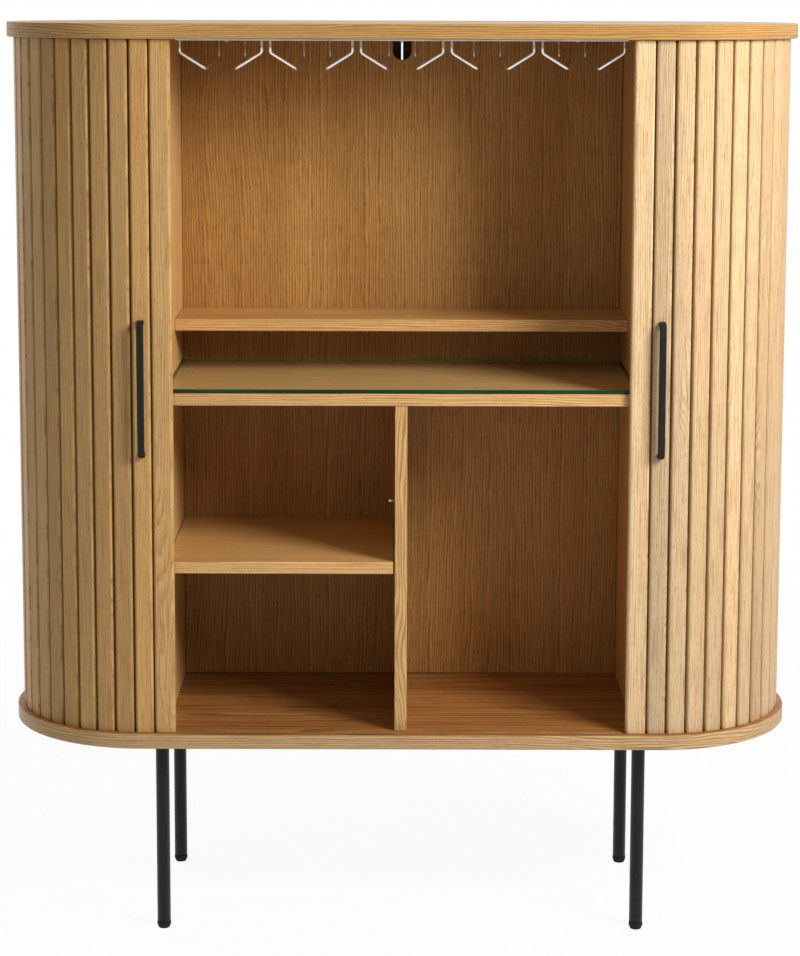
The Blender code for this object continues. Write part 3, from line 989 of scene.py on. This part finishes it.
@dataclass(frozen=True)
class Carcass:
    """The slabs, boards, glass and pins of the cabinet."""

    pin_rows: Pair = (-0.1475, 0.098)
    pin_height: float = 0.5505
    spare_pin: Pair = (-0.1475, 0.655)
    glass_rear_arris: float = 0.0018
    glass_arris: float = 0.0006

    def build(self) -> None:
        """Make every fixed piece of the cabinet."""
        Slab("veneered_top", "top_panel", "oak_top", Finish.TOP, TOP_UNDERSIDE, True).build()
        Slab("veneered_base", "base_panel", "oak_base", Finish.BASE, FLOOR_GAP, False, 0.35).build()
        for board in self.boards():
            board.build()
        self.build_glass()
        self.build_pins()

    @staticmethod
    def boards() -> list[BayBoard]:
        """The boards of the compartments, the two that carry pins without them."""
        right_low, right_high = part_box("right_side_panel")
        divider_low, divider_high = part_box("centre_divider")
        return [
            BayBoard("right_side", "right_side_panel", Grain.ALONG_Z, right_low, right_high),
            BayBoard("left_side", "left_side_panel", Grain.ALONG_Z,
                     Vector((-right_high.x, *right_low.yz)), Vector((-right_low.x, *right_high.yz)),
                     brightness=1.16, straw_and_sheen=0.08),
            BayBoard("divider", "centre_divider", Grain.ALONG_Z,
                     Vector((-divider_high.x, *divider_low.yz)), divider_high),
            # The middle board's raised brightness and wash paint the glass plate's pale reflection and
            # sheen onto the shelf under it; its band tone lifts its front edge, in part painted light.
            BayBoard("middle_board", "middle_shelf", Grain.ALONG_X, *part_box("middle_shelf"),
                     brightness=1.30, straw_and_sheen=0.20, band_tone=1.25),
            # The upper and loose shelves' higher band tones lift their front edges, in part painted light
            # over the shade in the bays.
            BayBoard("upper_board", "upper_shelf", Grain.ALONG_X, *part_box("upper_shelf"),
                     brightness=1.06, band_tone=1.50),
            BayBoard("loose_board", "lower_shelf", Grain.ALONG_X, *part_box("lower_shelf"),
                     brightness=1.10, band_tone=1.40),
            NotchedBack("grained_back", "inner_back_panel", Grain.ALONG_Z, *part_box("inner_back_panel"),
                        band_tone=0.0, slot="oak_back", finishes=(Finish.BACK,))]

    def build_glass(self) -> None:
        """The glass plate: its front and side edges are dark green, and its rear arris is painted light
        green, a painted glow of the light piped through the plate.
        """
        low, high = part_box("glass_shelf")
        shape = bmesh.new()
        block(shape, low, high)
        rear = [edge for edge in shape.edges
                if all(vert.co.y > high.y - NEAR and vert.co.z > high.z - NEAR for vert in edge.verts)]
        ease(shape, rear, self.glass_rear_arris, 2)
        ease(shape, sharp_edges(shape, 60.0), self.glass_arris, 2)
        shape.normal_update()
        # Finish 0 is for the flat faces, 1 for the edges and 2 for the rear arris, whose light green is a
        # painted glow
        for face in shape.faces:
            rise, back = face.normal.z, face.normal.y
            if back > 0.1 and 0.1 < rise < 0.99:
                face.material_index = 2
            elif abs(rise) < 0.9 and back < 0.9:
                face.material_index = 1
        finishes = [Finish.GLASS, Finish.GLASS_EDGE, Finish.GLASS_ARRIS]
        deliver(shape, "glass_plate", finishes, "clear_glass", "glass_shelf")

    def build_pins(self) -> None:
        """The steel pins under the loose shelf, and a spare one above it."""
        shape = bmesh.new()
        for y in self.pin_rows:
            join(shape, ShelfPin().shape(), Matrix.Translation((-BAY_HALF, y, self.pin_height)))
            self.join_facing_left(shape, y, self.pin_height)
        self.join_facing_left(shape, *self.spare_pin)
        deliver(shape, "shelf_pins", [Finish.ZINC], "chrome_wire")

    @staticmethod
    def join_facing_left(shape: BMesh, y: float, z: float) -> None:
        """Set a pin in the left face of the divider."""
        place = Matrix.Translation((-BOARD / 2, y, z)) @ Matrix.Rotation(math.pi, 4, "Z")
        join(shape, ShelfPin().shape(), place)


# --- rack


@dataclass(frozen=True)
class StemwareRack:
    """Five pairs of bent wires welded to two screwed strips under the top."""

    slots: int = 5
    front: float = -0.165
    rear: float = 0.080
    strip_half: float = 0.3255
    strip_width: float = 0.016
    strip_thickness: float = 0.0025
    strip_arris: float = 0.0006
    wire: float = 0.0045
    bend: float = 0.006
    riser_spread: float = 0.1178
    rail_front_spread: float = 0.0432
    rail_rear_spread: float = 0.0400
    riser_drop: float = 0.0197
    rail_front_drop: float = 0.0430
    rail_rear_drop: float = 0.0358
    screw_places: tuple[float, ...] = (-0.252, 0.0, 0.252)

    def build(self) -> None:
        """Make the rack and its screws."""
        top = TOP_UNDERSIDE - FIT
        low = top - self.strip_thickness
        strips = bmesh.new()
        for y in (self.front, self.rear):
            strip = bmesh.new()
            block(strip, (-self.strip_half, y - self.strip_width / 2, low),
                  (self.strip_half, y + self.strip_width / 2, top))
            ease(strip, strip.edges[:], self.strip_arris, 3)
            join(strips, strip)
        deliver(strips, "rack_strips", [Finish.ZINC], "chrome_wire")
        wires = bmesh.new()
        pitch = 2 * self.strip_half / self.slots
        for slot in range(self.slots):
            centre = (slot - (self.slots - 1) / 2) * pitch
            for side in (-1.0, 1.0):
                self.add_wire(wires, centre, side, low + self.strip_thickness / 2)
        deliver(wires, "wire_rack", [Finish.CHROME], "chrome_wire", "stemware_rack")
        spots = [(x, y) for y in (self.front, self.rear) for x in self.screw_places]
        PanScrew().drive_up("rack_screws", "chrome_wire", spots, Matrix.Translation((0.0, 0.0, low)))

    def add_wire(self, shape: BMesh, centre: float, side: float, weld: float) -> None:
        """Sweep one wire from the front strip along its rail to the rear strip.

        Args:
            shape: The rack.
            centre: Middle of the slot in X.
            side: -1 for the left wire of the slot and 1 for the right one.
            weld: Height at which the wire ends inside the strips.
        """
        riser, near, far = (centre + side * spread / 2 for spread in (
            self.riser_spread, self.rail_front_spread, self.rail_rear_spread))
        corners = [Vector((riser, self.front, weld)),
                   Vector((riser, self.front, TOP_UNDERSIDE - self.riser_drop)),
                   Vector((near, self.front, TOP_UNDERSIDE - self.rail_front_drop)),
                   Vector((far, self.rear, TOP_UNDERSIDE - self.rail_rear_drop)),
                   Vector((far, self.rear, weld))]
        part = bmesh.new()
        bmesh.ops.create_circle(part, cap_ends=True, segments=14, radius=self.wire / 2,
                                matrix=Matrix.Translation(corners[0]) @ Matrix.Rotation(math.pi, 4, "X"))
        Sweep(part, part.faces[:][0], Vector((0.0, 0.0, -1.0))).follow(corners, self.bend, 6)
        join(shape, part)


# --- legs


@dataclass(frozen=True)
class Leg:
    """A round steel leg with its screw plate, weld and plastic foot cap."""

    place: str
    radius: float = 0.010
    chamfer: float = 0.0006
    weld: float = 0.0018
    weld_hollow: float = 0.35
    plate: float = 0.070
    plate_thickness: float = 0.003
    plate_corner: float = 0.008
    plate_arris: float = 0.0005
    screw_inset: float = 0.011
    screw_radius: float = 0.0042
    foot_height: float = 0.010
    foot_proud: float = 0.0004
    foot_taper: float = 0.0018
    foot_round: float = 0.0010
    toe_height: float = 0.0052
    toe_angle: float = 18.0
    bead: float = 0.0007
    line_drop: float = 0.0018
    line_depth: float = 0.0003
    steps: int = 48

    def build(self) -> None:
        """Make the leg, its screws and its cap."""
        low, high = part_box("leg_" + self.place)
        centre = (low + high) / 2
        spot = Matrix.Translation((centre.x, centre.y, 0.0))
        seat = high.z - self.plate_thickness
        hollow = self.weld * self.weld_hollow
        profile = [(0.0, low.z), (self.radius - self.chamfer, low.z), (self.radius, low.z + self.chamfer),
                   (self.radius, seat - self.weld), (self.radius + hollow, seat - hollow),
                   (self.radius + self.weld, seat), (0.0, seat)]
        shape = turned(profile, self.steps)
        join(shape, self.plate_shape(seat, high.z))
        move(shape, spot)
        deliver(shape, "steel_leg_" + self.place, [Finish.STEEL], "black_steel", "leg_" + self.place)
        reach = self.plate / 2 - self.screw_inset
        spots = [(x, y) for x in (-reach, reach) for y in (-reach, reach)]
        PanScrew(self.screw_radius).drive_up("plate_screws_" + self.place, "black_steel", spots,
                                             spot @ Matrix.Translation((0.0, 0.0, seat)))
        self.build_foot(spot)

    def plate_shape(self, low: float, high: float) -> BMesh:
        """The square plate with rounded corners."""
        shape = bmesh.new()
        half = self.plate / 2
        block(shape, (-half, -half, low), (half, half, high))
        ease(shape, [edge for edge in shape.edges if rise_of(edge) > NEAR], self.plate_corner, 6)
        ease(shape, sharp_edges(shape), self.plate_arris, 2)
        return shape

    def build_foot(self, spot: Matrix) -> None:
        """The turned cap, with a bead at its upper edge and a fine line below it."""
        radius = self.radius + self.foot_proud
        line, toe = self.foot_height - self.line_drop, radius - self.foot_taper
        profile = [(0.0, self.foot_height), (radius - self.bead, self.foot_height)]
        profile += arc((radius - self.bead, self.foot_height - self.bead), self.bead, 90.0, 0.0, 3)[1:]
        profile += [(radius, line), (radius - self.line_depth, line - self.line_depth),
                    (radius, line - 2 * self.line_depth), (radius, self.toe_height)]
        profile += arc((toe - self.foot_round, self.foot_round), self.foot_round, self.toe_angle,
                       -90.0, 6)
        shape = turned([*profile, (0.0, 0.0)], self.steps)
        move(shape, spot)
        deliver(shape, "foot_cap_" + self.place, [Finish.PLASTIC], "black_plastic", "foot_" + self.place)


# --- doors


@dataclass(frozen=True)
class Pose:
    """Where the inner face of a slat stands: a plan point and the heading of the track."""

    x: float
    y: float
    heading: float

    def at(self, along: float, out: float) -> Vector:
        """A plan point given along the slat and out from its inner face."""
        ahead, side = math.cos(self.heading), math.sin(self.heading)
        return Vector((self.x + ahead * along + side * out, self.y + side * along - ahead * out))

    def matrix(self) -> Matrix:
        """The place of a slat that is made at the origin with its outer face towards -Y."""
        return Matrix.Translation((self.x, self.y, 0.0)) @ Matrix.Rotation(self.heading, 4, "Z")


@dataclass(frozen=True)
class TambourDoor:
    """One door: oak slats on canvas strips, a leading slat and a bar handle.

    Slat 0 is the leading one. The runs that park across the back are given by their first and
    last slats. From first_unbridged on, a run's canvas doesn't reach to the next run, because
    those runs turn on each other when the door is shut.
    """

    side_name: str
    side: float
    # The door's pale wash: on the right door it is painted sheen of the lamp on the front slats.
    straw_and_sheen: float = 0.0
    # A brighter lead slat: on the right door, a painted highlight of the lamp on its lead.
    painted_lead_highlight: float = 1.0
    # How many slats the painted sheen takes to fade out towards the tail.
    painted_sheen_reach: float = 30.0
    tone_range: Pair = (0.86, 1.10)
    wash_range: Pair = (0.0, 0.16)
    slat_gap: float = 0.0024
    slat_round: float = 0.0036
    slat_arris: float = 0.0004
    lead_width: float = 0.0296
    lead_round: float = 0.005
    lead_setback: float = 0.049
    tail_gap: float = 0.0028
    slat_count: int = 35
    back_runs: tuple[tuple[int, int], ...] = ((23, 24), (25, 26), (27, 28), (29, 30), (31, 33))
    first_unbridged: int = 29
    canvas: float = 0.0008
    canvas_bridge: float = 0.0020
    canvas_inset: float = 0.004
    headroom: float = 0.0007
    tongue: Triple = (0.010, 0.004, 0.005)

    @property
    def lead_edge(self) -> float:
        """Leading edge of the open door, from the middle."""
        return END_CENTRE - self.lead_setback

    @property
    def pitch(self) -> float:
        """Distance from slat to slat along the track."""
        run = 2 * END_CENTRE + math.pi * TRACK - self.tail_gap / 2 - self.lead_edge - self.lead_width
        return run / self.slat_count

    def width(self, number: int) -> float:
        """Width of a slat."""
        return self.lead_width if number == 0 else self.pitch - self.slat_gap

    def middle(self, number: int) -> float:
        """Distance along the track of the middle of a slat."""
        if number == 0:
            return self.lead_edge + self.lead_width / 2
        return self.lead_edge + self.lead_width + self.slat_gap / 2 + self.pitch * (number - 0.5)

    def pose(self, number: int) -> Pose:
        """The pose of a slat on the track."""
        distance = self.middle(number)
        if distance <= END_CENTRE:
            x, y, heading = distance, -TRACK, 0.0
        elif distance <= END_CENTRE + math.pi * TRACK:
            heading = (distance - END_CENTRE) / TRACK
            x, y = END_CENTRE + TRACK * math.sin(heading), -TRACK * math.cos(heading)
        else:
            x, y, heading = 2 * END_CENTRE + math.pi * TRACK - distance, TRACK, math.pi
        return Pose(self.side * x, y, self.side * heading)

    def slat_shape(self, number: int, with_tongues: bool) -> BMesh:
        """One slat in its place, with rounded outer edges and its own leaf of veneer.

        Args:
            number: Its number behind the leading slat.
            with_tongues: Whether it has the tongues that run in the track.

        Returns:
            The slat.
        """
        half = self.width(number) / 2
        low, high = BASE_TOP + FIT, TOP_UNDERSIDE - self.headroom
        shape = bmesh.new()
        block(shape, (-half, -SLAT_THICKNESS, low), (half, 0.0, high))
        for end in (-1.0, 1.0):
            leads = number == 0 and end == -self.side
            corner = [edge for edge in shape.edges if all(
                vert.co.x * end > half - NEAR and vert.co.y < NEAR - SLAT_THICKNESS
                for vert in edge.verts)]
            ease(shape, corner, self.lead_round if leads else self.slat_round, 7)
        ease(shape, [edge for edge in sharp_edges(shape) if rise_of(edge) < NEAR], self.slat_arris, 2)
        if with_tongues:
            reach, depth, rise = self.tongue
            near, far = -SLAT_THICKNESS / 2 - depth / 2, -SLAT_THICKNESS / 2 + depth / 2
            for end in (low, high):
                block(shape, (-reach / 2, near, end - rise), (reach / 2, far, end + rise))
        shade_round_faces(shape)
        self.lay_grain(shape, number)
        move(shape, self.pose(number).matrix())
        return shape

    def lay_grain(self, shape: BMesh, number: int) -> None:
        """Run the grain up the slat, with its own offset and tone."""
        chance = random.Random("%s slat %d" % (self.side_name, number))
        leaf = Vector(GrainLayers.leaf(chance))
        # The lead's raised tone is a painted highlight; the other slats' tones differ at random.
        tone = self.painted_lead_highlight if number == 0 else chance.uniform(*self.tone_range)
        # The door's wash fades from the lead to the tail as painted sheen; the random part is the leaves'
        # own paler tone.
        wash = self.straw_and_sheen * max(0.0, 1.0 - number / self.painted_sheen_reach) + chance.uniform(*self.wash_range)
        layers = GrainLayers(shape)
        for face in shape.faces:
            layers.lay(face, tone, wash, lambda corner: Vector((corner.x - corner.y, corner.z)) + leaf)

    def strip(self, stem: str, numbers: Sequence[int], label: str = "",
              with_tongues: bool = False) -> None:
        """Make a run of slats that move as one, and the canvas behind them.

        Args:
            stem: What the run's body and CAD node are called.
            numbers: The slats in it.
            label: What its pieces are called, where that differs.
            with_tongues: Whether its slats have tongues.
        """
        body = "%s_%s" % (self.side_name, stem)
        node = "door_%s_%s" % (stem, self.side_name)
        name = "%s_%s" % (label or stem, self.side_name)
        shape = bmesh.new()
        GrainLayers(shape)
        outer, inner = [], []
        for number in numbers:
            join(shape, self.slat_shape(number, with_tongues))
            half = self.width(number) / 2
            ends = [-half * self.side, half * self.side]
            if number == numbers[-1] and numbers[0] < self.first_unbridged:
                ends[1] += self.canvas_bridge * self.side
            outer += [self.pose(number).at(end, -FIT / 10) for end in ends]
            inner += [self.pose(number).at(end, -self.canvas) for end in ends]
        deliver(shape, name, [Finish.SLATS], "oak_slats", node, body=body, shaded=True)
        cloth = bmesh.new()
        low, high = BASE_TOP + FIT + self.canvas_inset, TOP_UNDERSIDE - self.headroom - self.canvas_inset
        outline = [(*point, low) for point in outer + inner[::-1]]
        raise_outline(cloth, outline, Vector((0.0, 0.0, high - low)))
        deliver(cloth, "canvas_" + name, [Finish.CANVAS], "oak_slats", body=body, shaded=True)

    def build(self) -> None:
        """Make the whole door, from its leading edge to its tail."""
        self.strip("lead", (0, 1), "lead_slats", with_tongues=True)
        for number in range(2, 13):
            self.strip("slat_%02d" % (number + 1), (number,))
        self.strip("end_slats", range(13, 23), with_tongues=True)
        for first, last in self.back_runs:
            self.strip("slats_%d_%d" % (first + 1, last + 1), range(first, last + 1))
        self.strip("tail_slats", (34, 35), with_tongues=True)
        BarHandle(self.side_name, self.side * self.middle(1)).build()


@dataclass(frozen=True)
class BarHandle:
    """A slim black bar that bends back to the slat at both ends."""

    side_name: str
    x: float
    length: float = 0.2006
    width: float = 0.010
    thickness: float = 0.007
    reach: float = 0.018
    bend: float = 0.012
    lift: float = 0.0045
    arris: float = 0.0018

    def build(self) -> None:
        """Sweep the bar from slat to slat and ease its edges."""
        middle = (BASE_TOP + TOP_UNDERSIDE) / 2 + self.lift
        line = (self.length - self.thickness) / 2
        foot = -SLAT_FACE - FIT
        front = -SLAT_FACE - self.reach + self.thickness / 2
        shape = bmesh.new()
        start = Matrix.Translation((self.x, foot, middle - line)) @ Matrix.Rotation(math.pi / 2, 4, "X")
        size = Matrix.Diagonal((self.width, self.thickness, 1.0, 1.0))
        section = bmesh.ops.create_grid(shape, x_segments=1, y_segments=1, size=0.5,
                                        matrix=start @ size)["verts"]
        corners = [Vector((self.x, foot, middle - line)), Vector((self.x, front, middle - line)),
                   Vector((self.x, front, middle + line)), Vector((self.x, foot, middle + line))]
        Sweep(shape, section[0].link_faces[0], Vector((0.0, -1.0, 0.0))).follow(
            corners, self.bend - self.thickness / 2, 10)
        ease(shape, [edge for edge in sharp_edges(shape, 60.0)
                     if not all(abs(vert.co.y - foot) < NEAR for vert in edge.verts)], self.arris, 3)
        face_outwards(shape)
        deliver(shape, "bar_handle_" + self.side_name, [Finish.STEEL], "black_steel",
                "door_handle_" + self.side_name, body=self.side_name + "_lead")


# --- studio


@dataclass(frozen=True)
class SoftLamp:
    """A square soft lamp that looks at the middle of the sideboard.

    Gloss mirrors the white surround and not the lamp, so that the lacquer never clips.
    """

    name: str
    place: Triple
    size: float
    power: float
    target: Triple = (0.0, 0.0, 0.80)

    def hang(self) -> None:
        """Put the lamp in the scene."""
        lamp = bpy.data.lights.new(self.name, "AREA")
        lamp.size = self.size
        lamp.energy = self.power
        holder = put_in_scene(self.name, lamp)
        holder.location = self.place
        aim = Vector(self.target) - Vector(self.place)
        holder.rotation_euler = aim.to_track_quat("-Z", "Y").to_euler()
        holder.visible_glossy = False


@dataclass(frozen=True)
class Studio:
    """The pale floor, the soft light and the camera at the photograph's viewing angle."""

    focal_pixels: float = 2556.7
    frame_height: float = 956.0
    sensor: float = 36.0
    camera_place: Triple = (-0.001, -3.85377, 1.40)
    camera_turn: Triple = (-0.13429, -0.00257, 0.00029)
    camera_shift: float = -0.148
    lamps: tuple[SoftLamp, ...] = (SoftLamp("key", (1.50, -1.45, 1.85), 0.80, 62.5),
                                   SoftLamp("rear", (-1.90, 1.90, 1.70), 1.20, 30.0))
    ambient: float = 0.38
    ambient_colour: Colour = (1.0, 0.95, 0.88)
    floor_radius: float = 14.0
    floor_colour: Colour = (0.86, 0.86, 0.855)
    floor_roughness: float = 0.8
    floor_glow: float = 0.93
    shadow_reach: Pair = (0.8, 3.0)

    def build(self) -> None:
        """Set up everything around the object."""
        bpy.context.scene.view_settings.view_transform = "Standard"
        self.build_world()
        self.build_floor()
        for lamp in self.lamps:
            lamp.hang()
        self.build_camera()

    @staticmethod
    def seen_share(shader: Shader) -> Value:
        """1 for rays that the camera, a mirror or clear glass sends, and 0 for the light's own."""
        path = shader.node("ShaderNodeLightPath")
        seen = shader.value(path, "Is Camera Ray").larger(shader.value(path, "Is Glossy Ray"))
        return seen.larger(shader.value(path, "Is Transmission Ray"))

    def build_world(self) -> None:
        """A white surround that lights the object only softly."""
        world = bpy.data.worlds.new("studio")
        shader = Shader("studio", world)
        dim = shader.node("ShaderNodeBackground", {},
                          {"Color": self.ambient_colour, "Strength": self.ambient})
        white = shader.node("ShaderNodeBackground", {}, {"Color": WHITE, "Strength": 1.0})
        light = shader.mixed(self.seen_share(shader), dim.outputs[0], white.outputs[0])
        shader.node("ShaderNodeOutputWorld", {}, {"Surface": light})
        bpy.context.scene.world = world

    def build_floor(self) -> None:
        """A wide pale floor that keeps a faint shadow."""
        shape = bmesh.new()
        bmesh.ops.create_circle(shape, cap_ends=True, segments=96, radius=self.floor_radius)
        mesh = as_mesh(shape, "studio_floor")
        shader = Shader("pale_floor")
        length = shader.node("ShaderNodeVectorMath", {"operation": "LENGTH"}, {0: shader.here()})
        far = shader.value(length, "Value")
        matt = shader.surface(Base_Color=self.floor_colour, Roughness=self.floor_roughness)
        white = shader.node("ShaderNodeEmission", {}, {"Color": WHITE, "Strength": 1.0}).outputs[0]
        share = self.seen_share(shader) * far.ramp(*self.shadow_reach, self.floor_glow, 1.0)
        mesh.materials.append(shader.finish(shader.mixed(share, matt, white)))
        put_in_scene("studio_floor", mesh)

    def build_camera(self) -> None:
        """The camera, in front of the bay and a little above the top."""
        data = bpy.data.cameras.new("camera")
        data.sensor_width = self.sensor
        data.lens = self.sensor * self.focal_pixels / self.frame_height
        data.shift_y = self.camera_shift
        camera = put_in_scene("camera", data)
        pitch, roll, yaw = self.camera_turn
        turn = (Matrix.Rotation(yaw, 4, "Z") @ Matrix.Rotation(pitch, 4, "X")
                @ Matrix.Rotation(roll, 4, "Y"))
        upright = Matrix.Rotation(math.pi / 2, 4, "X")
        camera.matrix_world = Matrix.Translation(self.camera_place) @ turn @ upright
        bpy.context.scene.camera = camera


def main() -> None:
    """Build and dress every sub-assembly, then the studio."""
    logging.basicConfig(level=logging.INFO, format="%(message)s")
    Carcass().build()
    StemwareRack().build()
    for depth in ("front", "rear"):
        for side in ("left", "right"):
            Leg("%s_%s" % (depth, side)).build()
    # The right door's raised wash and lead tone are painted sheen and a painted highlight from the lamp
    # on its right.
    TambourDoor("right", 1.0, straw_and_sheen=0.58, painted_lead_highlight=1.12).build()
    TambourDoor("left", -1.0).build()
    Studio().build()


if __name__ == "__main__":
    main()
